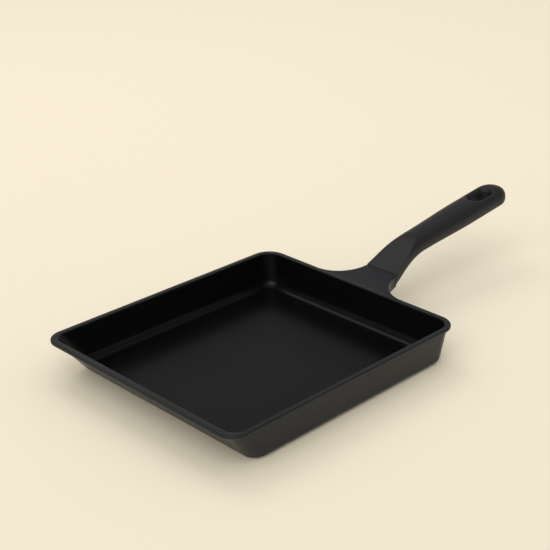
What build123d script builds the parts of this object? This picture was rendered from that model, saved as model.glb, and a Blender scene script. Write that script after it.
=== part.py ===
from build123d import *
import math
import os

# A tamagoyaki pan: a rectangular rolled-omelette pan, cast in one piece with the
# bracket that carries its moulded handle. Millimetres and degrees. The origin is the
# centre of the flat base, X runs across the pan, +Y runs towards the handle, +Z is up.

# Vessel
rim_width = 200.0
rim_length = 232.0
vessel_height = 32.0
wall = 2.3
floor_thickness = 3.2
side_setback = 4.1
rear_setback = 3.1
front_setback = 25.6
rim_overhang = 2.3
rim_thickness = 2.9
rim_edge_radius = 1.0
rim_under_chamfer = 0.8
lip_chamfer = 0.7
front_corner_radius = 14.0
rear_corner_radius = 16.0
heel_radius = 5.5
floor_radius = 7.0
pad_height = 0.6
pad_inset = 9.0
pad_radius = 6.0

# Bracket, cast with the rear wall
bracket_reach = 26.8
bracket_rise = 2.3
bracket_depth = 13.1
bracket_foot = 21.0
bracket_draft = 2.2
bracket_edge_radius = 4.5
flare_radius = 28.5
pocket_wall = 3.4
pocket_side = 7.0
pocket_roof = 4.0
pocket_end = 10.0
pocket_rib = 4.0
pocket_radius = 1.5
tongue_width = 18.0
tongue_thickness = 3.8
tongue_angle = 29.0
tongue_drop = 0.5
tongue_length = 20.0
tongue_root = 9.0
tongue_tip_radius = 4.0

# Handle moulding
seam_gap = 0.2
seam_width = 32.2
seam_depth = 16.2
seam_crown = 0.85
seam_corner = 5.4
waist_width = 24.9
waist_depth = 14.9
waist_to_seam = 45.6
grip_width = 28.4
grip_depth = 16.6
grip_crown = 1.9
grip_corner = 6.5
grip_to_seam = 112.0
neck_angle = 37.0
grip_angle = 6.7
neck_length = 25.2
grip_length = 138.75
elbow_radius = 88.0
facet_angle = 25.0
facet_fade = 0.1
facet_to_seam = 48.8
end_radius = 14.4
end_fullness = 3.0
hang_hole_length = 25.0
hang_hole_width = 11.5
hang_hole_to_tip = 27.5
dish_depth = 5.2
dish_angle = 46.0
back_dish_depth = 1.6
handle_edge_chamfer = 0.4

# Handle screw, its washer and the fits around them
screw_diameter = 4.0
screw_length = 6.0
screw_head_diameter = 7.6
screw_head_height = 2.0
screw_head_chamfer = 0.8
screw_to_seam = 9.0
screw_tip_chamfer = 0.5
washer_diameter = 7.2
washer_thickness = 0.8
washer_slit = 0.7
socket_clearance = 0.2
thread_clearance = 0.05
screw_clearance = 0.2
head_clearance = 0.5
seat_wall = 1.6

# Shares, counts and the overrun of the cuts
neck_bands = 8
grip_bands = 6
cap_angles = (0, 32, 58, 82)
overrun = 5.0

# Places worked out from the sizes above
base_length = rim_length - 2 * rim_overhang - front_setback - rear_setback
rear_wall_y = base_length / 2 + rear_setback
rim_rear_y = rear_wall_y + rim_overhang
rim_front_y = rim_rear_y - rim_length
seam_y = rim_rear_y + bracket_reach
seam_top = vessel_height + bracket_rise
seam_half = seam_width / 2
flare_x = seam_half + math.sqrt(2 * flare_radius * bracket_reach - bracket_reach**2)


def rounded_outline(width, front, rear, front_radius, rear_radius, z):
    """A rectangle across X from front to rear, with its own radius at each end."""
    sheet = Pos(0, (front + rear) / 2) * Rectangle(width, rear - front)
    corners = sheet.vertices().sort_by(Axis.Y)
    sheet = fillet(corners[:2], front_radius)
    corners = sheet.vertices().sort_by(Axis.Y)
    sheet = fillet(corners[-2:], rear_radius)
    return Pos(0, 0, z) * sheet


def wall_block(low, high, inset=0.0):
    """The tray's four leaning walls between two heights, moved inwards by an inset."""
    lean = math.hypot(vessel_height, front_setback) / vessel_height
    ends = []
    sides = []
    for z in (low, high):
        up = z / vessel_height
        ends.append(rim_width / 2 - rim_overhang - side_setback * (1 - up) - inset)
        sides.append((-base_length / 2 - front_setback * up + inset * lean,
                      base_length / 2 + rear_setback * up - inset))
    side = Polyline((sides[0][0], low), (sides[0][1], low), (sides[1][1], high),
                    (sides[1][0], high), close=True)
    end = Polyline((-ends[0], low), (ends[0], low), (ends[1], high), (-ends[1], high), close=True)
    block = extrude(make_face(Plane.YZ * side), rim_width, both=True)
    block &= extrude(make_face(Plane.XZ * end), rim_length, both=True)
    front = block.edges().group_by(Axis.Z)[1].sort_by(Axis.Y)[:2]
    block = fillet(front, front_corner_radius - rim_overhang - inset)
    rear = block.edges().filter_by(Axis.X, reverse=True).filter_by(Axis.Y, reverse=True)
    rear = rear.filter_by(GeomType.LINE).sort_by(Axis.Y)[-2:]
    return fillet(rear, rear_corner_radius - rim_overhang - inset)


def make_shell():
    """The outer body of the tray with its rounded heel, its base pad and its rim bead."""
    shell = wall_block(pad_height, vessel_height)
    shell = fillet(shell.edges().group_by(Axis.Z)[0], heel_radius)
    pad_front = -base_length / 2 + pad_inset
    pad_rear = base_length / 2 - pad_inset
    pad_width = rim_width - 2 * (rim_overhang + side_setback + pad_inset)
    pad = rounded_outline(pad_width, pad_front, pad_rear, pad_radius, pad_radius, 0)
    shell += extrude(pad, pad_height + floor_thickness / 2)
    rim = rounded_outline(rim_width, rim_front_y, rim_rear_y, front_corner_radius,
                          rear_corner_radius, vessel_height - rim_thickness)
    rim = extrude(rim, rim_thickness)
    rim = chamfer(rim.edges().group_by(Axis.Z)[0], rim_under_chamfer)
    rim = fillet(rim.edges().group_by(Axis.Z)[-1], rim_edge_radius)
    return shell + rim


def make_cavity():
    """The cooking space, with rounded corners all round its floor."""
    cavity = wall_block(floor_thickness, vessel_height + overrun, wall)
    return fillet(cavity.edges().group_by(Axis.Z)[0], floor_radius)


def flare_outline(z, back=0.0, draft=0.0):
    """The bracket in plan: two concave arcs that leave the rim or, set back, the wall below it."""
    bend = rim_rear_y + flare_radius
    half = flare_x - flare_radius - draft
    foot = flare_x + back - draft
    root = rim_rear_y - rim_overhang - 3 * wall
    end = bend + overrun
    right = [
        Line((half, end), (half, bend)),
        CenterArc((foot, bend), flare_radius + back, 180, 90),
        Line((foot, rim_rear_y - back), (foot, root)),
    ]
    left = [mirror(edge, Plane.YZ) for edge in right]
    ends = [Line((-half, end), (half, end)), Line((-foot, root), (foot, root))]
    return Pos(0, 0, z) * make_face(right + left + ends)


def make_bracket():
    """The flared bracket: drafted sides, a rising top and an underside that runs up to the seam."""
    low = vessel_height - bracket_foot
    under_rim = vessel_height - rim_thickness
    leaned = rim_overhang + rear_setback * bracket_foot / vessel_height
    body = loft([
        flare_outline(seam_top),
        flare_outline(vessel_height - rim_edge_radius),
        flare_outline(under_rim, rim_overhang),
        flare_outline(low, leaned, bracket_draft),
    ], ruled=True)
    root = rim_rear_y - rim_overhang - 2 * wall
    side = Polyline((root, vessel_height), (rim_rear_y, vessel_height), (seam_y, seam_top),
                    (seam_y, seam_top - bracket_depth), (rim_rear_y - leaned, low), (root, low),
                    close=True)
    body &= extrude(make_face(Plane.YZ * side), rim_width / 2, both=True)
    under = body.faces().filter_by(lambda face: face.normal_at().Z < 0).sort_by(Axis.Y)[-1]
    body = fillet(under.edges().filter_by(GeomType.LINE, reverse=True), bracket_edge_radius)
    ramp = body.faces().filter_by(lambda face: face.normal_at().Z > 0).sort_by(Axis.Y)[-1]
    return fillet(ramp.edges().filter_by(GeomType.LINE, reverse=True), rim_edge_radius) - make_pocket()


def make_pocket():
    """The cored hollow under the bracket, with a rib left down its middle."""
    room = seam_y - pocket_end - rim_rear_y
    width = 2 * (seam_half + pocket_side)
    hollow = flare_outline(0, 0, bracket_draft + pocket_wall)
    hollow &= Pos(0, rim_rear_y + room / 2) * Rectangle(width, room)
    hollow -= Pos(0, rim_rear_y + room / 2) * Rectangle(pocket_rib, 2 * room)
    hollow = fillet(hollow.vertices(), pocket_radius)
    return extrude(hollow, vessel_height - pocket_roof)


# The handle's middle line, in its own vertical plane: up the neck, round the elbow, out to the tip
spine_z = seam_top - bracket_depth + seam_depth / 2
neck = math.radians(neck_angle)
grip = math.radians(grip_angle)
elbow_y = seam_y + neck_length * math.cos(neck)
elbow_z = spine_z + neck_length * math.sin(neck)
tip_y = elbow_y + grip_length * math.cos(grip)
tip_z = elbow_z + grip_length * math.sin(grip)
spine = Plane.YZ * FilletPolyline((seam_y, spine_z), (elbow_y, elbow_z), (tip_y, tip_z),
                                  radius=elbow_radius)
tongue_tilt = math.radians(tongue_angle)
tongue_plane = Plane((0, seam_y, spine_z - tongue_drop), x_dir=(1, 0, 0),
                     z_dir=(0, -math.sin(tongue_tilt), math.cos(tongue_tilt)))


def spine_place(distance):
    """A point on the middle line and the direction of the line there."""
    point = spine.position_at(distance, position_mode=PositionMode.LENGTH)
    along = spine.tangent_at(distance, position_mode=PositionMode.LENGTH)
    return point, along


def body_size(distance):
    """The handle's width, depth, crown and corner radius at a distance along its middle line."""
    turn = math.pi * min(max(distance / waist_to_seam, 0), 1)
    quick = math.sin(turn / 2)
    slow = (1 - math.cos(turn)) / 2
    swell = math.pi * min(max((distance - waist_to_seam) / (grip_to_seam - waist_to_seam), 0), 1)
    swell = (1 - math.cos(swell)) / 2
    width = seam_width + (waist_width - seam_width) * quick + (grip_width - waist_width) * swell
    depth = seam_depth + (waist_depth - seam_depth) * slow + (grip_depth - waist_depth) * swell
    crown = seam_crown + (grip_crown - seam_crown) * quick
    corner = seam_corner + (grip_corner - seam_corner) * quick
    return width, depth, crown, corner


def oval(plane, width, depth, crown, corner):
    """A closed outline of four bowed sides and four rounded corners."""
    x = width / 2 - crown
    y = depth / 2 - crown
    bowed = [
        ThreePointArc((-x, y), (0, depth / 2), (x, y)),
        ThreePointArc((x, y), (width / 2, 0), (x, -y)),
        ThreePointArc((x, -y), (0, -depth / 2), (-x, -y)),
        ThreePointArc((-x, -y), (-width / 2, 0), (-x, y)),
    ]
    outline = make_face(bowed)
    return plane * fillet(outline.vertices(), corner)


def make_handle_body():
    """The bar of the handle: straight bands between outlines, from the seam to a rounded tip."""
    cap_start = spine.length - end_radius
    places = [waist_to_seam * count / neck_bands for count in range(2, neck_bands)]
    room = cap_start - waist_to_seam
    places += [waist_to_seam + room * count / grip_bands for count in range(grip_bands)]
    first = Plane((0, seam_y + seam_gap, spine_z), x_dir=(1, 0, 0), z_dir=(0, 1, 0))
    sections = [oval(first, *body_size(0))]
    for distance in places:
        point, along = spine_place(distance)
        sections.append(oval(Plane(point, x_dir=(1, 0, 0), z_dir=along), *body_size(distance)))
    width, depth, crown, corner = body_size(cap_start)
    for angle in cap_angles:
        into_cap = math.sin(math.radians(angle))
        point, along = spine_place(cap_start + end_radius * into_cap)
        across = math.cos(math.radians(angle))
        flat = (1 - into_cap**end_fullness) ** (1 / end_fullness)
        less = min(across, flat)
        sections.append(oval(Plane(point, x_dir=(1, 0, 0), z_dir=along), width * across,
                             depth * flat, crown * less, corner * less))
    return loft(sections, ruled=True)


def make_facet_cut():
    """What is taken off the top of the neck: a flat that fades out on the crown of the grip."""
    point, along = spine_place(facet_to_seam)
    lift = body_size(facet_to_seam)[1] / 2 + facet_fade
    end = (point.Y - along.Z * lift, point.Z + along.Y * lift)
    third = (end[0] - seam_y) / 3
    rise = math.tan(math.radians(facet_angle))
    before = (seam_y - overrun, seam_top - overrun * rise)
    flat = Line(before, (seam_y, seam_top))
    fade = Bezier((seam_y, seam_top), (seam_y + third, seam_top + third * rise),
                  (end[0] - third, end[1] - third * math.tan(grip)), end)
    high = tip_z + grip_depth
    rest = Polyline(end, (end[0], high), (before[0], high), before)
    return extrude(make_face(Plane.YZ * (flat + fade + rest)), seam_width, both=True)


def make_tongue(grow=0.0):
    """The tongue that the handle slides onto, or the socket round it with a clearance."""
    length = tongue_length + tongue_root + grow
    bar = Pos(0, (length / 2) - tongue_root, 0) * Box(
        tongue_width + 2 * grow, length, tongue_thickness + 2 * grow)
    tip = bar.edges().filter_by(Axis.Z).group_by(Axis.Y)[-1]
    return tongue_plane * fillet(tip, tongue_tip_radius + grow)


def tongue_hole(diameter, low, high):
    """A round bar square to the tongue, at the screw, between two heights above its middle."""
    bar = Pos(0, screw_to_seam, (low + high) / 2) * Cylinder(diameter / 2, high - low)
    return tongue_plane * bar


# Heights of the screw's parts, measured square to the tongue from its middle
screw_seat = -tongue_thickness / 2 - socket_clearance - seat_wall
head_top = screw_seat - washer_thickness
head_bottom = head_top - screw_head_height
screw_tip = head_top + screw_length


def make_pan_body():
    """The casting: tray, rim, bracket and tongue, with the tapped hole for the screw."""
    body = make_shell() + make_bracket() + make_tongue() - make_cavity()
    rim_top = body.faces().filter_by(Plane.XY).sort_by(Axis.Z)[-1]
    body = chamfer(rim_top.inner_wires().edges(), lip_chamfer)
    tapped = screw_diameter + 2 * thread_clearance
    return body - tongue_hole(tapped, -tongue_thickness, tongue_thickness)


def make_hang_hole():
    """The oval hanging hole, dished deeply on top and lightly below."""
    point, along = spine_place(spine.length - hang_hole_to_tip)
    slot = SlotOverall(hang_hole_length, hang_hole_width, rotation=90)
    hole = extrude(slot, grip_depth, both=True)
    dish = Pos(0, 0, grip_depth / 2 - dish_depth) * slot
    hole += extrude(dish, dish_depth + overrun, taper=-dish_angle)
    back = Pos(0, 0, back_dish_depth - grip_depth / 2) * slot
    hole += extrude(back, -back_dish_depth - overrun, taper=-dish_angle)
    return Plane(point, x_dir=(1, 0, 0), z_dir=(0, -along.Z, along.Y)) * hole


def make_handle():
    """The handle moulding, with its facet, socket, screw recess and hanging hole."""
    body = make_handle_body() - make_facet_cut()
    end = body.faces().sort_by(Axis.Y)[0]
    body = chamfer(end.outer_wire().edges(), handle_edge_chamfer)
    body -= make_tongue(socket_clearance)
    body -= tongue_hole(screw_diameter + 2 * screw_clearance, screw_seat, 0)
    head_room = screw_head_diameter + 2 * head_clearance
    body -= tongue_hole(head_room, screw_seat - seam_depth, screw_seat)
    return body - make_hang_hole()


def make_screw():
    """A pan-head screw, its shank up through the tongue."""
    head = tongue_hole(screw_head_diameter, head_bottom, head_top)
    low_rim = head.faces().sort_by(Axis.Z)[0].edges()
    shank = tongue_hole(screw_diameter, head_top, screw_tip)
    tip_rim = shank.faces().sort_by(Axis.Z)[-1].edges()
    head = chamfer(low_rim, screw_head_chamfer)
    return head + chamfer(tip_rim, screw_tip_chamfer)


def make_washer():
    """A split spring washer, pressed flat under the screw's head."""
    ring = tongue_hole(washer_diameter, head_top, screw_seat)
    ring -= tongue_hole(screw_diameter + 2 * screw_clearance, head_top, screw_seat)
    slit = Box(washer_slit, washer_diameter, 2 * seam_depth,
               align=(Align.CENTER, Align.MIN, Align.CENTER))
    return ring - tongue_plane * (Pos(0, screw_to_seam) * slit)


pieces = {
    "pan_body": make_pan_body,
    "handle": make_handle,
    "handle_screw": make_screw,
    "spring_washer": make_washer,
}

if __name__ == "__main__":
    os.makedirs("parts", exist_ok=True)
    for name, maker in pieces.items():
        export_step(maker(), f"parts/{name}.step")
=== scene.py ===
import logging
import math
from dataclasses import dataclass, field
from enum import Enum

import bmesh
import bpy
import numpy as np
from mathutils import Matrix, Vector


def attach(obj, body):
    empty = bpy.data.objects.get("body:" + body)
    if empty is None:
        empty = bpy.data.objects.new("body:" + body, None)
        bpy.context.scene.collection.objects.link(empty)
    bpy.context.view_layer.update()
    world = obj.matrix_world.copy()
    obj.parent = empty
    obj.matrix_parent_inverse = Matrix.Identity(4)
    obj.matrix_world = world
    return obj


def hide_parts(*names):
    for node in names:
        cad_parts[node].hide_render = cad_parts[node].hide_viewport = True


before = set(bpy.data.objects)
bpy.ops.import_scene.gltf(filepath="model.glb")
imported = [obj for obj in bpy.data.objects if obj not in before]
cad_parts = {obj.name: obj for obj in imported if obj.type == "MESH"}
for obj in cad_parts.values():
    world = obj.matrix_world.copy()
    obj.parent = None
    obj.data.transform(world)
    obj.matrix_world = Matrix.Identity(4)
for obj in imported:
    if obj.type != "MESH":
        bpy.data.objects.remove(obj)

# The looks of a tamagoyaki pan. Sizes are in millimetres and are turned to metres where a
# mesh is made. The origin is the centre of the flat base, and +Y runs to the handle.
# Points nearer than MERGE become one, and edges over SHARP_ANGLE degrees stay sharp.

LOG = logging.getLogger("tamagoyaki_pan")
MM = 0.001
MERGE = 0.001
SHARP_ANGLE = 32.0


def linear(colour: str) -> tuple[float, float, float, float]:
    """Turn an sRGB hex colour into linear values.

    Args:
        colour: Six hex digits, such as "3a3a3c".

    Returns:
        Linear red, green, blue and an alpha of 1.
    """
    parts = []
    for start in (0, 2, 4):
        value = int(colour[start:start + 2], 16) / 255
        parts.append(value / 12.92 if value <= 0.04045 else ((value + 0.055) / 1.055) ** 2.4)
    return (parts[0], parts[1], parts[2], 1.0)


def add_node(tree: bpy.types.NodeTree, kind: str, settings: dict | None = None,
             values: dict | None = None, links: dict | None = None) -> bpy.types.Node:
    """Add one node with its settings, its socket values and its incoming links.

    Args:
        tree: The node tree that gets the node.
        kind: The node's type name.
        settings: Attributes of the node itself.
        values: Socket values, by socket name or number.
        links: Output sockets to link in, by this node's socket name or number.

    Returns:
        The new node.
    """
    node = tree.nodes.new(kind)
    for name, value in (settings or {}).items():
        setattr(node, name, value)
    for name, value in (values or {}).items():
        node.inputs[name].default_value = value
    for name, socket in (links or {}).items():
        tree.links.new(socket, node.inputs[name])
    return node


def smooth_step(value: float) -> float:
    """Ease a share between 0 and 1 with a half cosine."""
    return (1 - math.cos(math.pi * min(max(value, 0.0), 1.0))) / 2


def bow(share: float, fullness: float) -> float:
    """Give the height of a superellipse with half axes of 1 at a place across it."""
    return max(1 - abs(share) ** fullness, 0.0) ** (1 / fullness)


def signed_power(value: float, power: float) -> float:
    """Raise a number's size to a power and keep its sign."""
    return math.copysign(abs(value) ** power, value)


def soft_lower(one: float, other: float, blend: float) -> float:
    """Take the lower of two heights, rounded where they come within a blend of each other."""
    near = max(blend - abs(one - other), 0.0) / blend
    return min(one, other) - near * near * blend / 4


def mesh_piece(name: str, points: np.ndarray, faces: list[tuple[int, ...]]) -> bpy.types.Object:
    """Make an object from points in millimetres, with its place in its mesh.

    Args:
        name: The piece's name.
        points: Points in millimetres, one row each.
        faces: Corner numbers of each face.

    Returns:
        The linked object, at the origin.
    """
    mesh = bpy.data.meshes.new(name)
    mesh.from_pydata([tuple(float(v) * MM for v in point) for point in points], [], faces)
    mesh.update()
    piece = bpy.data.objects.new(name, mesh)
    bpy.context.scene.collection.objects.link(piece)
    return piece


def tidy_mesh(piece: bpy.types.Object, outward: bool = True) -> None:
    """Merge doubles of a piece and turn its faces outwards.

    Args:
        piece: The piece whose mesh is tidied.
        outward: Whether the normals are recalculated.
    """
    work = bmesh.new()
    work.from_mesh(piece.data)
    bmesh.ops.remove_doubles(work, verts=work.verts, dist=MERGE * MM)
    if outward:
        bmesh.ops.recalc_face_normals(work, faces=work.faces)
    work.to_mesh(piece.data)
    work.free()


def shade(piece: bpy.types.Object, angle: float = SHARP_ANGLE) -> None:
    """Shade a piece smooth, with edges over an angle kept sharp.

    Args:
        piece: The piece to shade.
        angle: The largest smooth angle, in degrees.
    """
    work = bmesh.new()
    work.from_mesh(piece.data)
    limit = math.radians(angle)
    for edge in work.edges:
        edge.smooth = len(edge.link_faces) == 2 and edge.calc_face_angle(math.pi) < limit
    for face in work.faces:
        face.smooth = True
    work.to_mesh(piece.data)
    work.free()


def apply_modifiers(piece: bpy.types.Object) -> None:
    """Turn a piece with live modifiers into a plain mesh.

    Args:
        piece: The piece, which keeps its name and loses its modifiers.
    """
    graph = bpy.context.evaluated_depsgraph_get()
    made = bpy.data.meshes.new_from_object(piece.evaluated_get(graph))
    piece.modifiers.clear()
    piece.data = made


def weigh_normals(piece: bpy.types.Object) -> None:
    """Give flats their own normals and let the roundings bend between them.

    Args:
        piece: The smoothly shaded piece.
    """
    weighted = piece.modifiers.new("weighted", "WEIGHTED_NORMAL")
    weighted.keep_sharp = True
    weighted.weight = 100
    apply_modifiers(piece)


def cut(piece: bpy.types.Object, cutter: bpy.types.Object) -> None:
    """Take a closed cutter out of a piece and delete the cutter.

    Args:
        piece: The piece that is cut.
        cutter: The closed solid that is taken away.
    """
    boolean = piece.modifiers.new("cut", "BOOLEAN")
    boolean.operation = "DIFFERENCE"
    boolean.solver = "EXACT"
    boolean.object = cutter
    apply_modifiers(piece)
    bpy.data.objects.remove(cutter)


def ring_walls(rings: int, count: int) -> list[tuple[int, ...]]:
    """List the faces between rings of points that follow one another.

    Args:
        rings: The number of rings.
        count: The number of points in each ring.

    Returns:
        Four corner numbers for each face.
    """
    faces: list[tuple[int, ...]] = []
    for row in range(rings - 1):
        for side in range(count):
            a = row * count + side
            b = row * count + (side + 1) % count
            faces.append((a, b, b + count, a + count))
    return faces


def loop_solid(name: str, points: np.ndarray, loops: int) -> bpy.types.Object:
    """Join equal loops of points into a closed solid.

    Args:
        name: The piece's name.
        points: All loops' points in millimetres, one loop after another.
        loops: The number of loops.

    Returns:
        The closed piece, with its faces outwards.
    """
    count = len(points) // loops
    ends = [tuple(range(count)), tuple(range(len(points) - count, len(points)))]
    piece = mesh_piece(name, points, ends + ring_walls(loops, count))
    tidy_mesh(piece)
    return piece


# Finishes


@dataclass
class Coat:
    """A material in the making, with patterns that follow the piece's own coordinates."""

    name: str
    grain_detail: float = 3.0

    def __post_init__(self) -> None:
        """Start the material with its surface shader and the coordinates of the piece."""
        self.material = bpy.data.materials.new(self.name)
        self.material.use_nodes = True
        self.tree = self.material.node_tree
        self.shader = self.tree.nodes["Principled BSDF"]
        self.place = add_node(self.tree, "ShaderNodeTexCoord").outputs["Object"]

    def mottle(self, size: float, detail: float, spread: float, dark: str, light: str) -> None:
        """Let the colour wander between two close tones.

        Args:
            size: Width of a spot in millimetres.
            detail: How many finer layers the spots have.
            spread: The half of the pattern's range that the two tones share.
            dark: The darker tone.
            light: The lighter tone.
        """
        spots = add_node(self.tree, "ShaderNodeTexNoise",
                         values={"Scale": 1 / (size * MM), "Detail": detail},
                         links={"Vector": self.place})
        share = add_node(self.tree, "ShaderNodeMapRange",
                         values={"From Min": 0.5 - spread, "From Max": 0.5 + spread},
                         links={"Value": spots.outputs["Fac"]})
        mix = add_node(self.tree, "ShaderNodeMix", {"data_type": "RGBA"},
                       {6: linear(dark), 7: linear(light)}, {0: share.outputs["Result"]})
        self.tree.links.new(mix.outputs[2], self.shader.inputs["Base Color"])

    def drift(self, size: float, detail: float, middle: float, swing: float) -> None:
        """Let the roughness drift a little from patch to patch.

        Args:
            size: Width of a patch in millimetres.
            detail: How many finer layers the patches have.
            middle: The middle roughness.
            swing: How far the roughness moves to either side.
        """
        patches = add_node(self.tree, "ShaderNodeTexNoise",
                           values={"Scale": 1 / (size * MM), "Detail": detail},
                           links={"Vector": self.place})
        gloss = add_node(self.tree, "ShaderNodeMapRange",
                         values={"To Min": middle - swing, "To Max": middle + swing},
                         links={"Value": patches.outputs["Fac"]})
        self.tree.links.new(gloss.outputs["Result"], self.shader.inputs["Roughness"])

    def grain(self, size: float, strength: float, depth: float) -> None:
        """Raise a fine grain.

        Args:
            size: Width of a grain in millimetres.
            strength: Strength of the relief, from 0 to 1.
            depth: Height of the relief in millimetres.
        """
        grains = add_node(self.tree, "ShaderNodeTexNoise",
                          values={"Scale": 1 / (size * MM), "Detail": self.grain_detail},
                          links={"Vector": self.place})
        bump = add_node(self.tree, "ShaderNodeBump",
                        values={"Strength": strength, "Distance": depth * MM},
                        links={"Height": grains.outputs["Fac"]})
        self.tree.links.new(bump.outputs["Normal"], self.shader.inputs["Normal"])


@dataclass(frozen=True)
class SatinCoating:
    """The casting's outside: aluminium under a sprayed dark grey satin silicone coat.

    The eye gets a soft wide highlight, a fine orange-peel and no sparkle.
    """

    colour: str = "181a1e"
    fleck: str = "141619"
    # The real flecks are finer than this, and are drawn as coarse as they need to be to show.
    fleck_size: float = 0.5
    fleck_spread: float = 0.15
    specular: float = 0.25
    roughness: float = 0.34
    patch_size: float = 40.0
    detail: float = 2.0
    patch_swing: float = 0.03
    peel_size: float = 0.9
    peel_strength: float = 0.12
    peel_depth: float = 0.05

    def build(self) -> bpy.types.Material:
        """Build the material.

        Returns:
            The satin coating.
        """
        coat = Coat("satin_silicone_coating")
        coat.shader.inputs["Specular IOR Level"].default_value = self.specular
        coat.mottle(self.fleck_size, self.detail, self.fleck_spread, self.fleck, self.colour)
        coat.drift(self.patch_size, self.detail, self.roughness, self.patch_swing)
        coat.grain(self.peel_size, self.peel_strength, self.peel_depth)
        return coat.material


@dataclass(frozen=True)
class NonStickCoating:
    """The cooking face: black PTFE non-stick, sprayed and baked.

    The eye gets a near-black surface with a broad, slightly blurred reflection.
    """

    colour: str = "060606"
    specular: float = 0.17
    roughness: float = 0.3
    patch_size: float = 55.0
    detail: float = 3.0
    patch_swing: float = 0.04
    # The real grain is finer than this, and is drawn as coarse as it needs to be to show.
    grain_size: float = 0.6
    grain_strength: float = 0.1
    grain_depth: float = 0.04

    def build(self) -> bpy.types.Material:
        """Build the material.

        Returns:
            The non-stick coating.
        """
        coat = Coat("black_ptfe_nonstick")
        coat.shader.inputs["Base Color"].default_value = linear(self.colour)
        coat.shader.inputs["Specular IOR Level"].default_value = self.specular
        coat.drift(self.patch_size, self.detail, self.roughness, self.patch_swing)
        coat.grain(self.grain_size, self.grain_strength, self.grain_depth)
        return coat.material


@dataclass(frozen=True)
class PhenolicMoulding:
    """The handle: compression-moulded phenolic resin with a fine matte mould texture.

    The eye gets a warm charcoal with a soft broad sheen and a faint grain.
    """

    colour: str = "201e20"
    cloud: str = "1b1a1c"
    cloud_size: float = 18.0
    detail: float = 4.0
    cloud_spread: float = 0.5
    specular: float = 0.24
    roughness: float = 0.44
    # The mould's real texture is finer, and is drawn as coarse as it needs to be to show.
    grain_size: float = 0.55
    grain_strength: float = 0.22
    grain_depth: float = 0.06

    def build(self) -> bpy.types.Material:
        """Build the material.

        Returns:
            The phenolic moulding.
        """
        coat = Coat("matte_phenolic_moulding")
        coat.shader.inputs["Specular IOR Level"].default_value = self.specular
        coat.shader.inputs["Roughness"].default_value = self.roughness
        coat.mottle(self.cloud_size, self.detail, self.cloud_spread, self.cloud, self.colour)
        coat.grain(self.grain_size, self.grain_strength, self.grain_depth)
        return coat.material


@dataclass(frozen=True)
class PlatedSteel:
    """The screw and washer: steel wire under bright zinc.

    The eye gets a pale metal whose gloss breaks up in fine spots.
    """

    colour: str = "b9bcbd"
    roughness: float = 0.32
    spot_size: float = 0.5
    detail: float = 3.0
    spot_swing: float = 0.08

    def build(self) -> bpy.types.Material:
        """Build the material.

        Returns:
            The zinc-plated steel.
        """
        coat = Coat("zinc_plated_steel")
        coat.shader.inputs["Base Color"].default_value = linear(self.colour)
        coat.shader.inputs["Metallic"].default_value = 1.0
        coat.drift(self.spot_size, self.detail, self.roughness, self.spot_swing)
        return coat.material


# The casting


@dataclass
class Casting:
    """The tray, rim, bracket and tongue, cast in one piece and coated twice."""

    floor_top: float = 3.2
    rim_top: float = 32.0
    lip: float = 0.7
    # The middle of the cooking space along the pan, and a place behind its rear wall.
    tray_middle: float = -11.25
    tray_end: float = 104.0
    # How far past the floor and the lip a face may lie and still count as inside.
    floor_slack: float = 0.1
    lip_slack: float = 0.05
    # Upward parts of a normal: the least for a wall, and the least for the flat floor.
    wall_lean: float = 0.02
    floor_lean: float = 0.95
    outside: SatinCoating = field(default_factory=SatinCoating)
    inside: NonStickCoating = field(default_factory=NonStickCoating)

    def build(self, node: bpy.types.Object) -> bpy.types.Object:
        """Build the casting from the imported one.

        Args:
            node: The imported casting.

        Returns:
            The finished piece.
        """
        piece = bpy.data.objects.new("cast_tray", node.data.copy())
        bpy.context.scene.collection.objects.link(piece)
        tidy_mesh(piece, outward=False)
        shade(piece)
        self.dress(piece)
        weigh_normals(piece)
        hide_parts("pan_body")
        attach(piece, "root")
        return piece

    def in_cavity(self, centre: Vector, normal: Vector) -> bool:
        """Tell whether a face belongs to the cooking space.

        Args:
            centre: The face's centre, in metres.
            normal: The face's normal.

        Returns:
            Whether the non-stick coat covers the face.
        """
        x, y, z = (value / MM for value in centre)
        top = self.rim_top - self.lip + self.lip_slack
        if z < self.floor_top - self.floor_slack or z > top or y > self.tray_end:
            return False
        inwards = normal.x * x + normal.y * (y - self.tray_middle) < 0
        return normal.z > self.wall_lean and (inwards or normal.z > self.floor_lean)

    def dress(self, piece: bpy.types.Object) -> None:
        """Give the outside and the cooking space their own coats.

        Args:
            piece: The casting.
        """
        piece.data.materials.clear()
        piece.data.materials.append(self.outside.build())
        piece.data.materials.append(self.inside.build())
        for face in piece.data.polygons:
            face.material_index = int(self.in_cavity(face.center, face.normal))


# The screw and its washer


class Drive(Enum):
    """The recess in the screw's head."""

    CROSS = "cross"
    SLOT = "slot"


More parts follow.
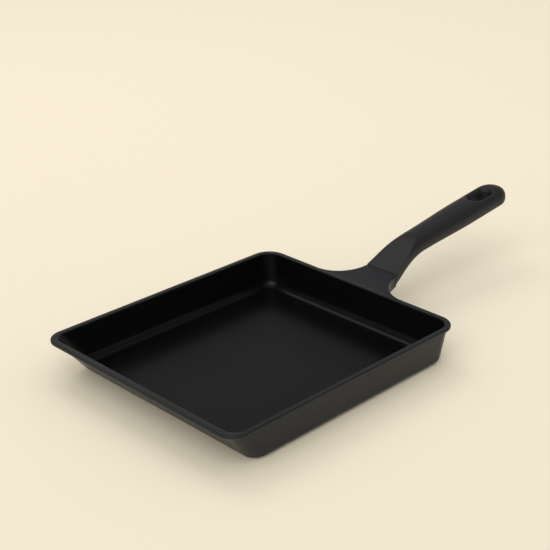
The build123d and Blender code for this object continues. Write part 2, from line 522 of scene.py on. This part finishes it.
@dataclass
class HandleScrew:
    """The M4 pan-head screw that goes up through the handle into the tongue.

    Heights are square to the tongue's middle, and the screw's head is below it.
    """

    bracket_end: float = 131.55
    tongue_z: float = 28.8
    tilt: float = 29.0
    along: float = 9.0
    seat: float = -3.7
    washer: float = 0.8
    diameter: float = 4.0
    length: float = 6.0
    head_diameter: float = 7.6
    head_height: float = 2.0
    head_round: float = 1.2
    head_crown: float = 1.0
    head_pole: float = 0.2
    neck_length: float = 0.8
    neck_relief: float = 0.1
    neck_taper: float = 0.3
    chamfer: float = 0.4
    pitch: float = 0.7
    root_depth: float = 0.43
    thread_from: float = 0.9
    thread_to_tip: float = 0.35
    tooth: float = 0.3
    tooth_sink: float = 0.5
    recess_diameter: float = 8.6
    recess_reach: float = 25.0
    bore_diameter: float = 4.4
    bore_overlap: float = 1.0
    drive_turn: float = 0.3
    blade_overrun: float = 0.3
    blade_depth: float = 1.3
    blade_mouth: tuple[float, float] = (2.2, 0.5)
    blade_foot: tuple[float, float] = (0.9, 0.34)
    recess_steps: int = 48
    bore_steps: int = 32
    round_steps: int = 8
    turn_steps: int = 64
    winding_steps: int = 40
    drive: Drive = Drive.CROSS
    finish: PlatedSteel = field(default_factory=PlatedSteel)

    def place(self, x: float, run: float, high: float) -> tuple[float, float, float]:
        """Place a point given across, along and square to the tongue."""
        tilt = math.radians(self.tilt)
        return (x, self.bracket_end + run * math.cos(tilt) - high * math.sin(tilt),
                self.tongue_z + run * math.sin(tilt) + high * math.cos(tilt))

    def rings(self, name: str, profile: list[tuple[float, float]], steps: int) -> bpy.types.Object:
        """Turn a profile round the screw's axis.

        Args:
            name: The piece's name.
            profile: Radii and heights, from one end to the other.
            steps: Number of steps round.

        Returns:
            The closed turned piece.
        """
        points = []
        for radius, high in profile:
            for step in range(steps):
                turn = 2 * math.pi * step / steps
                points.append(self.place(radius * math.cos(turn),
                                         self.along + radius * math.sin(turn), high))
        return loop_solid(name, np.array(points), len(profile))

    def room_cutters(self) -> list[bpy.types.Object]:
        """Build the cutters for the screw's recess and hole in the handle.

        Returns:
            The recess cutter and the bore cutter.
        """
        wide, narrow = self.recess_diameter / 2, self.bore_diameter / 2
        room = self.rings("recess_cutter", [(wide, -self.recess_reach), (wide, self.seat)],
                          self.recess_steps)
        bore = self.rings("bore_cutter", [(narrow, self.seat - self.bore_overlap), (narrow, 0.0)],
                          self.bore_steps)
        return [room, bore]

    def build(self) -> list[bpy.types.Object]:
        """Build the screw with its recess and thread.

        Returns:
            The screw's body and its thread.
        """
        top = self.seat - self.washer
        low = top - self.head_height
        tip = top + self.length
        radius = self.head_diameter / 2
        profile = [(self.head_pole, low)]
        for step in range(self.round_steps + 1):
            turn = math.pi / 2 * step / self.round_steps
            profile.append((radius - self.head_round * (1 - math.sin(turn)),
                            low + self.head_crown * (1 - math.cos(turn))))
        neck = self.diameter / 2 - self.neck_relief
        root = self.diameter / 2 - self.root_depth
        profile += [(radius, top), (neck, top), (neck, top + self.neck_length),
                    (root, top + self.neck_length + self.neck_taper),
                    (root, tip - self.chamfer), (root - self.chamfer, tip)]
        piece = self.rings("handle_screw_m4", profile, self.turn_steps)
        for turn in self.blades():
            cut(piece, self.blade_cutter(turn, low))
        shade(piece)
        steel = self.finish.build()
        piece.data.materials.clear()
        piece.data.materials.append(steel)
        thread = self.thread(top + self.thread_from, tip - self.thread_to_tip, steel)
        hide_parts("handle_screw")
        for part in (piece, thread):
            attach(part, "root")
        return [piece, thread]

    def blades(self) -> tuple[float, ...]:
        """Give the turns of the recess's blades."""
        across = self.drive_turn + math.pi / 2
        return (self.drive_turn, across) if self.drive is Drive.CROSS else (self.drive_turn,)

    def blade_cutter(self, turn: float, low: float) -> bpy.types.Object:
        """Build one tapered blade of the recess.

        Args:
            turn: The blade's turn round the screw, in radians.
            low: Height of the head's face.

        Returns:
            The cutter.
        """
        points = []
        levels = ((low - self.blade_overrun, self.blade_mouth),
                  (low + self.blade_depth, self.blade_foot))
        for high, (long, thick) in levels:
            for a, b in ((1, 1), (-1, 1), (-1, -1), (1, -1)):
                x, y = a * long, b * thick
                across = x * math.cos(turn) - y * math.sin(turn)
                run = x * math.sin(turn) + y * math.cos(turn)
                points.append(self.place(across, self.along + run, high))
        return loop_solid("blade_cutter", np.array(points), 2)

    def thread(self, low: float, high: float, steel: bpy.types.Material) -> bpy.types.Object:
        """Wind the screw's thread with Geometry Nodes.

        Args:
            low: Height where the thread starts.
            high: Height where it ends.
            steel: The thread's material.

        Returns:
            The thread as a plain mesh, in its place.
        """
        tree = bpy.data.node_groups.new("thread_winding", "GeometryNodeTree")
        face = tree.interface
        face.new_socket("Geometry", in_out="OUTPUT", socket_type="NodeSocketGeometry")
        sizes = {"Turns": (high - low) / self.pitch, "Height": (high - low) * MM,
                 "Root Radius": (self.diameter / 2 - self.tooth_sink) * MM,
                 "Tooth": self.tooth * MM}
        sockets = {name: face.new_socket(name, in_out="INPUT", socket_type="NodeSocketFloat")
                   for name in sizes}
        inlet = add_node(tree, "NodeGroupInput")
        helix = add_node(tree, "GeometryNodeCurveSpiral", values={"Resolution": self.winding_steps},
                         links={"Rotations": inlet.outputs["Turns"],
                                "Start Radius": inlet.outputs["Root Radius"],
                                "End Radius": inlet.outputs["Root Radius"],
                                "Height": inlet.outputs["Height"]})
        tooth = add_node(tree, "GeometryNodeCurvePrimitiveCircle", {"mode": "RADIUS"},
                         {"Resolution": 4}, {"Radius": inlet.outputs["Tooth"]})
        wound = add_node(tree, "GeometryNodeCurveToMesh", values={"Fill Caps": True},
                         links={"Curve": helix.outputs["Curve"],
                                "Profile Curve": tooth.outputs["Curve"]})
        real = add_node(tree, "GeometryNodeRealizeInstances",
                        links={"Geometry": wound.outputs["Mesh"]})
        dressed = add_node(tree, "GeometryNodeSetMaterial", values={"Material": steel},
                           links={"Geometry": real.outputs["Geometry"]})
        add_node(tree, "NodeGroupOutput", links={"Geometry": dressed.outputs["Geometry"]})
        piece = mesh_piece("screw_thread", np.zeros((0, 3)), [])
        winding = piece.modifiers.new("thread", "NODES")
        winding.node_group = tree
        for name, value in sizes.items():
            winding[sockets[name].identifier] = value
        apply_modifiers(piece)
        foot = Vector(self.place(0.0, self.along, low)) * MM
        lean = Matrix.Rotation(math.radians(self.tilt), 4, "X")
        piece.data.transform(Matrix.Translation(foot) @ lean)
        tidy_mesh(piece)
        return piece


@dataclass
class SpringWasher:
    """The split spring washer, pressed flat under the screw's head."""

    outer: float = 7.2
    inner: float = 4.4
    # The split's width at the inner edge.
    split: float = 0.35
    bevel: float = 0.12
    turn_steps: int = 64
    finish: PlatedSteel = field(default_factory=lambda: PlatedSteel("a3a6a6", 0.4))

    def build(self, screw: HandleScrew) -> bpy.types.Object:
        """Build the washer on its screw.

        Args:
            screw: The screw that carries it.

        Returns:
            The finished piece.
        """
        low, top = screw.seat - screw.washer, screw.seat
        near, far = self.inner / 2, self.outer / 2
        section = [(near + self.bevel, low), (far - self.bevel, low),
                   (far, low + self.bevel), (far, top - self.bevel),
                   (far - self.bevel, top), (near + self.bevel, top),
                   (near, top - self.bevel), (near, low + self.bevel)]
        open_turn = self.split / near
        start = math.pi / 2 + open_turn / 2
        points = []
        for step in range(self.turn_steps + 1):
            turn = start + (2 * math.pi - open_turn) * step / self.turn_steps
            for radius, high in section:
                points.append(screw.place(radius * math.cos(turn),
                                          screw.along + radius * math.sin(turn), high))
        piece = loop_solid("split_washer", np.array(points), self.turn_steps + 1)
        shade(piece)
        piece.data.materials.append(self.finish.build())
        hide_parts("spring_washer")
        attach(piece, "root")
        return piece


# The handle


@dataclass
class HandleBar:
    """The moulded handle: sections along a bent line, a fading facet and a dished hole.

    A distance runs along the middle line, from the bracket's end face to the tip.
    """

    seam_y: float = 131.75
    seam_gap: float = 0.2
    spine_z: float = 29.3
    neck_angle: float = 37.0
    grip_angle: float = 6.7
    neck_length: float = 25.2
    grip_length: float = 138.744
    elbow_radius: float = 88.0
    # Widths, depths and fullness at the seam, at the waist and at the grip's widest place.
    seam_width: float = 32.1
    seam_depth: float = 16.2
    seam_fullness: float = 3.8
    waist_width: float = 24.9
    waist_depth: float = 14.9
    waist_at: float = 45.6
    grip_width: float = 28.4
    grip_depth: float = 16.45
    grip_at: float = 112.0
    grip_fullness: float = 2.5
    # The first section is upright, and the next ones lean over until they are square.
    upright_length: float = 15.0
    # The facet starts at the seam's top edge and fades out where it meets the bar's own top.
    facet_angle: float = 25.0
    facet_top: float = 34.3
    facet_at: float = 48.8
    facet_lift: float = 0.1
    facet_exit: float = 0.4
    facet_blend: float = 0.25
    # Half width of the top stretch of points, as a share of the bar's, and where it widens.
    top_share: tuple[float, float] = (0.70, 0.89)
    top_widens: tuple[float, float] = (50.0, 95.0)
    top_crowding: float = 0.25
    end_radius: float = 14.4
    end_fullness: float = 3.0
    end_angle: float = 88.0
    hole_length: float = 25.0
    hole_width: float = 11.5
    hole_to_tip: float = 27.5
    hole_margin: float = 20.0
    dish_lip: float = 4.4
    dish_depth: float = 5.2
    dish_steepness: float = 0.99
    flare_depth: float = 1.6
    flare_angle: float = 46.0
    cutter_top: float = 12.0
    overrun: float = 3.0
    # The socket that the casting's tongue slides into.
    socket_half: float = 9.2
    socket_thick: float = 2.1
    socket_reach: float = 20.2
    socket_radius: float = 4.2
    # The fine groove round the seam: how far each ring lies inwards, and how far out.
    seam_line: tuple[tuple[float, float], ...] = (
        (1.0, 0.0), (1.0, 0.5), (0.35, 0.5), (0.1, 0.6), (0.0, 0.85))
    fine_length: float = 56.0
    length_steps: tuple[int, int, int] = (56, 29, 55)
    end_steps: int = 33
    top_steps: int = 72
    side_steps: int = 44
    hole_steps: int = 20
    corner_steps: int = 8
    # The search for the facet's height: its rounds, the facet's rough slope, the least divisor.
    search_rounds: int = 6
    search_slope: float = 0.4
    search_least: float = 0.3
    sharp_angle: float = 33.0
    finish: PhenolicMoulding = field(default_factory=PhenolicMoulding)

    def __post_init__(self) -> None:
        """Work out the bent middle line: neck, elbow arc and grip."""
        self.neck = math.radians(self.neck_angle)
        self.grip = math.radians(self.grip_angle)
        turn = self.neck - self.grip
        self.cut_back = self.elbow_radius * math.tan(turn / 2)
        self.arc = self.elbow_radius * turn
        self.straight = self.neck_length - self.cut_back
        self.length = self.straight + self.arc + self.grip_length - self.cut_back
        self.cap = self.length - self.end_radius

    def spine(self, distance: float) -> tuple[np.ndarray, float]:
        """Find a point of the middle line.

        Args:
            distance: Length along the line.

        Returns:
            The point's Y and Z, and the line's slope angle there.
        """
        start = np.array([self.seam_y - self.seam_gap, self.spine_z])
        along = np.array([math.cos(self.neck), math.sin(self.neck)])
        if distance <= self.straight:
            return start + along * distance, self.neck
        bend = start + along * self.straight
        centre = bend + self.elbow_radius * np.array([math.sin(self.neck), -math.cos(self.neck)])
        turned = min((distance - self.straight) / self.elbow_radius, self.neck - self.grip)
        slope = self.neck - turned
        point = centre + self.elbow_radius * np.array([-math.sin(slope), math.cos(slope)])
        rest = distance - self.straight - self.arc
        if rest > 0:
            point = point + rest * np.array([math.cos(self.grip), math.sin(self.grip)])
        return point, slope

    def hole_place(self) -> tuple[np.ndarray, np.ndarray, np.ndarray]:
        """Find where the hanging hole is.

        Returns:
            The hole's middle and its directions along and up, each as Y and Z.
        """
        middle, slope = self.spine(self.length - self.hole_to_tip)
        along = np.array([math.cos(slope), math.sin(slope)])
        return middle, along, np.array([-along[1], along[0]])

    def section(self, distance: float) -> tuple[float, float, float]:
        """Work out the size of the bar at a place.

        Args:
            distance: Length along the middle line.

        Returns:
            The half width, the half depth and the fullness.
        """
        share = min(max(distance / self.waist_at, 0.0), 1.0)
        quick = math.sin(math.pi * share / 2)
        slow = smooth_step(share)
        swell = smooth_step((distance - self.waist_at) / (self.grip_at - self.waist_at))
        width = self.seam_width + (self.waist_width - self.seam_width) * quick
        width += (self.grip_width - self.waist_width) * swell
        depth = self.seam_depth + (self.waist_depth - self.seam_depth) * slow
        depth += (self.grip_depth - self.waist_depth) * swell
        full = self.seam_fullness + (self.grip_fullness - self.seam_fullness) * quick
        return width / 2, depth / 2, full

    def facet_height(self, y: float) -> float:
        """Work out the facet's height over the base at a place along the pan.

        Args:
            y: The place along the pan.

        Returns:
            The height, on a curve that leaves the seam at the facet's angle and ends
            in line with the grip, a little over the bar.
        """
        end, slope = self.spine(self.facet_at)
        lift = self.section(self.facet_at)[1] + self.facet_lift
        end = end + lift * np.array([-math.sin(slope), math.cos(slope)])
        start = np.array([self.seam_y - self.seam_gap, self.facet_top])
        rise = math.tan(math.radians(self.facet_angle))
        if y <= start[0]:
            return float(start[1] + (y - start[0]) * rise)
        if y >= end[0]:
            return float(end[1] + (y - end[0]) * (math.tan(self.grip) + self.facet_exit))
        third = (end[0] - start[0]) / 3
        t = (y - start[0]) / (end[0] - start[0])
        heights = (start[1], start[1] + third * rise, end[1] - third * math.tan(self.grip), end[1])
        return float(heights[0] * (1 - t) ** 3 + 3 * heights[1] * t * (1 - t) ** 2
                     + 3 * heights[2] * t * t * (1 - t) + heights[3] * t ** 3)

    def facet_level(self, point: np.ndarray, up: np.ndarray, deep: float) -> float:
        """Search how high the facet lies in one section.

        Args:
            point: The section's middle, as Y and Z.
            up: The section's upward direction, as Y and Z.
            deep: The section's half depth.

        Returns:
            The facet's height over the middle, which is over the half depth where it misses.
        """
        level = math.inf
        step = max(up[1] - up[0] * self.search_slope, self.search_least)
        for _ in range(self.search_rounds):
            probe = point + up * min(level, deep)
            over = self.facet_height(probe[0]) - probe[1]
            level = min(level, deep) + over / step
            if over > 0 and level > deep:
                break
        return level

    def stations(self) -> list[tuple[float, float]]:
        """List the sections as distances and angles into the round end.

        Returns:
            Pairs of distance and end angle in degrees, which is 0 before the end.
        """
        ends = (0.0, self.fine_length, self.length - self.hole_to_tip - self.hole_margin, self.cap)
        places = [(0.0, 0.0)]
        for start, end, steps in zip(ends, ends[1:], self.length_steps):
            places += [(float(place), 0.0) for place in np.linspace(start, end, steps + 1)[1:]]
        for angle in np.linspace(0, self.end_angle, self.end_steps + 1)[1:]:
            into = self.end_radius * math.sin(math.radians(angle))
            places.append((self.cap + into, float(angle)))
        return places

    def outline(self, distance: float, angle: float) -> np.ndarray:
        """Make one section as points round the handle, from its left crease over the top.

        Args:
            distance: Length along the middle line.
            angle: Degrees into the round end.

        Returns:
            Points in millimetres, one row each.
        """
        half, deep, full = self.section(min(distance, self.cap))
        half *= math.cos(math.radians(angle))
        deep *= bow(math.sin(math.radians(angle)), self.end_fullness)
        point, slope = self.spine(distance)
        lean = slope * smooth_step(distance / self.upright_length)
        up = np.array([-math.sin(lean), math.cos(lean)])
        facet = self.facet_level(point, up, deep)
        narrow, wide = self.top_share
        begin, end = self.top_widens
        crease = half * (narrow + (wide - narrow) * smooth_step((distance - begin) / (end - begin)))
        if facet < deep:
            crease = max(crease, half * bow(max(facet, 0.0) / deep, full))
        points = []
        for step in range(self.top_steps + 1):
            even = 2 * step / self.top_steps - 1
            crowded = math.sin(math.pi / 2 * even)
            x = crease * ((1 - self.top_crowding) * even + self.top_crowding * crowded)
            points.append((x, soft_lower(deep * bow(x / half, full), facet, self.facet_blend)))
        start = math.acos(min(crease / half, 1.0) ** (full / 2))
        for step in range(1, self.side_steps):
            turn = start - (2 * start + math.pi) * step / self.side_steps
            points.append((signed_power(math.cos(turn), 2 / full) * half,
                           signed_power(math.sin(turn), 2 / full) * deep))
        across, high = np.array(points).T
        back = np.maximum(point[0] + up[0] * high, self.seam_y)
        return np.column_stack([across, back, point[1] + up[1] * high])

    def carve_dish(self, points: np.ndarray) -> np.ndarray:
        """Press the dish round the hanging hole into the top of the bar.

        Args:
            points: The bar's points.

        Returns:
            The points with a round lip towards the hole.
        """
        middle, along, up = self.hole_place()
        flat = points[:, 1:] - middle
        run = flat @ along
        high = flat @ up
        reach = np.maximum(np.abs(run) - (self.hole_length - self.hole_width) / 2, 0)
        away = np.hypot(reach, points[:, 0]) - self.hole_width / 2
        into = np.clip(1 - away / self.dish_lip, 0.0, self.dish_steepness)
        fall = self.dish_depth * (1 - np.sqrt(1 - into ** 2))
        moved = points.copy()
        moved[:, 1:] -= np.outer(np.where(high > 0, fall, 0.0), up)
        return moved

    def seam_rings(self, first: np.ndarray) -> list[np.ndarray]:
        """Make the rings of the groove at the seam.

        Args:
            first: The section at the seam.

        Returns:
            The rings, from the handle's end face outwards.
        """
        middle = np.array([0.0, self.seam_y, self.spine_z])
        reach = np.linalg.norm(first - middle, axis=1, keepdims=True)
        rings = []
        for pull, out in self.seam_line:
            ring = middle + (first - middle) * (1 - pull / reach)
            ring[:, 1] = self.seam_y + out
            rings.append(ring)
        return rings

    def bar(self) -> bpy.types.Object:
        """Build the solid bar with its facet and dish, before its holes.

        Returns:
            The closed bar.
        """
        sections = [self.outline(distance, angle) for distance, angle in self.stations()]
        groove_end = self.seam_y + self.seam_line[-1][1]
        rings = self.seam_rings(sections[0])
        rings += [ring for ring in sections[1:] if ring[:, 1].min() > groove_end]
        tip = self.spine(self.length)[0]
        points = np.vstack([self.carve_dish(np.vstack(rings)), [0.0, tip[0], tip[1]]])
        count = len(rings[0])
        last = (len(rings) - 1) * count
        faces = ring_walls(len(rings), count)
        for side in range(count):
            faces.append((last + side, last + (side + 1) % count, len(points) - 1))
        faces.append(tuple(range(count)))
        piece = mesh_piece("moulded_handle", points, faces)
        tidy_mesh(piece)
        return piece

    def slot_cutter(self) -> bpy.types.Object:
        """Build the cutter for the straight slot and the small flare under it.

        Returns:
            The closed cutter.
        """
        middle, along, up = self.hole_place()
        low = -self.grip_depth / 2
        flare = (self.overrun + self.flare_depth) * math.tan(math.radians(self.flare_angle))
        levels = [(low - self.overrun, flare), (low + self.flare_depth, 0.0),
                  (self.cutter_top, 0.0)]
        shift = (self.hole_length - self.hole_width) / 2
        points = []
        for level, more in levels:
            radius = self.hole_width / 2 + more
            for end in (1, -1):
                for step in range(self.hole_steps + 1):
                    turn = math.pi * step / self.hole_steps
                    run = end * (radius * math.sin(turn) + shift)
                    place = middle + along * run + up * level
                    points.append((end * radius * math.cos(turn), place[0], place[1]))
        return loop_solid("slot_cutter", np.array(points), len(levels))

    def socket_cutter(self, screw: HandleScrew) -> bpy.types.Object:
        """Build the cutter for the slot that takes the casting's tongue.

        Args:
            screw: The screw, which knows how the tongue lies.

        Returns:
            The closed cutter.
        """
        radius = self.socket_radius
        outline = [(-self.socket_half, -self.overrun)]
        for step in range(self.corner_steps + 1):
            turn = math.pi - math.pi / 2 * step / self.corner_steps
            outline.append((radius - self.socket_half + radius * math.cos(turn),
                            self.socket_reach - radius + radius * math.sin(turn)))
        outline += [(-x, y) for x, y in reversed(outline)]
        points = [screw.place(x, y, z)
                  for z in (-self.socket_thick, self.socket_thick) for x, y in outline]
        return loop_solid("socket_cutter", np.array(points), 2)

    def build(self, screw: HandleScrew) -> bpy.types.Object:
        """Build the finished handle.

        Args:
            screw: The screw that the recess is made for.

        Returns:
            The finished piece.
        """
        piece = self.bar()
        for cutter in [self.slot_cutter(), *screw.room_cutters(), self.socket_cutter(screw)]:
            cut(piece, cutter)
        tidy_mesh(piece, outward=False)
        shade(piece, self.sharp_angle)
        piece.data.materials.clear()
        piece.data.materials.append(self.finish.build())
        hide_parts("handle")
        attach(piece, "root")
        return piece


# The studio


@dataclass
class Studio:
    """The camera, the pale floor and the soft light."""

    camera_at: tuple[float, float, float] = (589.6, -581.9, 449.0)
    looks_at: tuple[float, float, float] = (-107.19, 118.80, 0.0)
    lens: float = 82.13
    sensor: float = 36.0
    nearest: float = 50.0
    farthest: float = 30000.0
    # The floor as it is seen, and the cooler tone that it throws back at the pan.
    floor_reach: float = 6000.0
    floor_drop: float = 0.02
    floor_roughness: float = 0.95
    floor_specular: float = 0.1
    floor_colour: str = "f0e5cd"
    bounce_colour: str = "c8ccd6"
    # The room as it is seen and mirrored, in tones from the horizon to the ceiling.
    horizon_colour: str = "ece1ca"
    dome: tuple[tuple[float, str], ...] = (
        (0.20, "ece1ca"), (0.31, "8a8a8a"), (0.43, "8e8e8e"), (0.49, "c4c4c4"),
        (0.55, "bababa"), (0.64, "6c6c6c"), (0.74, "787878"), (0.84, "b4b4b4"))
    ceiling_colour: str = "b4b4b4"
    # The light that the room gives, at the horizon and overhead.
    room_light: tuple[float, float] = (0.40, 0.81)
    # One broad even light from the front and the right, and one soft lamp over the left.
    window_from: tuple[float, float, float] = (500.0, -1000.0, 900.0)
    window_angle: float = 60.0
    window_strength: float = 1.5
    softbox_at: tuple[float, float, float] = (-850.0, 200.0, 1250.0)
    softbox_size: float = 700.0
    softbox_watts: float = 2.4

    def camera(self) -> None:
        """Set up the camera at the photograph's viewing angle."""
        data = bpy.data.cameras.new("photo_camera")
        data.lens = self.lens
        data.sensor_width = self.sensor
        data.clip_start, data.clip_end = self.nearest * MM, self.farthest * MM
        bpy.context.scene.camera = self.hang(data, self.camera_at, self.looks_at)

    def hang(self, data: bpy.types.ID, place: tuple[float, float, float],
             target: tuple[float, float, float] = (0.0, 0.0, 0.0)) -> bpy.types.Object:
        """Hang a camera or a lamp and aim it.

        Args:
            data: The camera or the lamp, whose name the object takes.
            place: Where it hangs, in millimetres.
            target: What it looks at, in millimetres.

        Returns:
            The camera's or the lamp's object.
        """
        thing = bpy.data.objects.new(data.name, data)
        bpy.context.scene.collection.objects.link(thing)
        thing.location = Vector(place) * MM
        view = Vector(target) * MM - thing.location
        thing.rotation_euler = view.to_track_quat("-Z", "Y").to_euler()
        return thing

    def seen(self, tree: bpy.types.NodeTree) -> bpy.types.NodeSocket:
        """Tell the rays that show a surface from those that only light one.

        Args:
            tree: The node tree that gets the nodes.

        Returns:
            A socket that is 1 for camera, glossy and transmission rays.
        """
        path = add_node(tree, "ShaderNodeLightPath")
        mirrored = add_node(tree, "ShaderNodeMath", {"operation": "MAXIMUM"},
                            links={0: path.outputs["Is Camera Ray"],
                                   1: path.outputs["Is Glossy Ray"]})
        seen = add_node(tree, "ShaderNodeMath", {"operation": "MAXIMUM"},
                        links={0: mirrored.outputs[0], 1: path.outputs["Is Transmission Ray"]})
        return seen.outputs[0]

    def floor(self) -> None:
        """Lay the pale floor."""
        corners = ((-1, -1), (1, -1), (1, 1), (-1, 1))
        points = np.array([(x * self.floor_reach, y * self.floor_reach, -self.floor_drop)
                           for x, y in corners])
        piece = mesh_piece("studio_floor", points, [(0, 1, 2, 3)])
        material = bpy.data.materials.new("matte_paper_sweep")
        material.use_nodes = True
        tree = material.node_tree
        shader = tree.nodes["Principled BSDF"]
        mix = add_node(tree, "ShaderNodeMix", {"data_type": "RGBA"},
                       {6: linear(self.bounce_colour), 7: linear(self.floor_colour)},
                       {0: self.seen(tree)})
        tree.links.new(mix.outputs[2], shader.inputs["Base Color"])
        shader.inputs["Roughness"].default_value = self.floor_roughness
        shader.inputs["Specular IOR Level"].default_value = self.floor_specular
        piece.data.materials.append(material)

    def softbox(self) -> None:
        """Hang the one soft lamp, over the left of the pan."""
        data = bpy.data.lights.new("overhead_softbox", "AREA")
        data.shape = "SQUARE"
        data.size = self.softbox_size * MM
        data.energy = self.softbox_watts
        self.hang(data, self.softbox_at)

    def window_light(self) -> None:
        """Let one broad even light in from the front and the right."""
        data = bpy.data.lights.new("window_light", "SUN")
        data.angle = math.radians(self.window_angle)
        data.energy = self.window_strength
        self.hang(data, self.window_from)

    def world(self) -> None:
        """Fill the room: pale tones for the rays that show it, an even light for the others."""
        world = bpy.data.worlds.new("soft_room")
        bpy.context.scene.world = world
        world.use_nodes = True
        tree = world.node_tree
        back = tree.nodes["Background"]
        place = add_node(tree, "ShaderNodeTexCoord")
        parts = add_node(tree, "ShaderNodeSeparateXYZ",
                         links={"Vector": place.outputs["Generated"]})
        ramp = add_node(tree, "ShaderNodeValToRGB", links={"Fac": parts.outputs["Z"]})
        stops = ramp.color_ramp.elements
        stops[0].position, stops[0].color = 0.0, linear(self.horizon_colour)
        stops[1].position, stops[1].color = 1.0, linear(self.ceiling_colour)
        for height, colour in self.dome:
            stops.new(height).color = linear(colour)
        rise = add_node(tree, "ShaderNodeMapRange",
                        values={"To Min": self.room_light[0], "To Max": self.room_light[1]},
                        links={"Value": parts.outputs["Z"]})
        mix = add_node(tree, "ShaderNodeMix", {"data_type": "RGBA"},
                       links={0: self.seen(tree), 6: rise.outputs["Result"],
                              7: ramp.outputs["Color"]})
        tree.links.new(mix.outputs[2], back.inputs["Color"])
        back.inputs["Strength"].default_value = 1.0

    def build(self) -> None:
        """Set up the whole studio."""
        bpy.context.scene.view_settings.view_transform = "Standard"
        self.camera()
        self.floor()
        self.world()
        self.softbox()
        self.window_light()


def main() -> None:
    """Build the pan and its studio, and log the face count of each finished piece."""
    logging.basicConfig(level=logging.INFO, format="%(name)s: %(message)s")
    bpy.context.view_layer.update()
    Studio().build()
    screw = HandleScrew()
    finished = [Casting().build(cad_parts["pan_body"])]
    finished.append(HandleBar().build(screw))
    finished += screw.build()
    finished.append(SpringWasher().build(screw))
    for piece in finished:
        LOG.info("%s: %d faces", piece.name, len(piece.data.polygons))


if __name__ == "__main__":
    main()
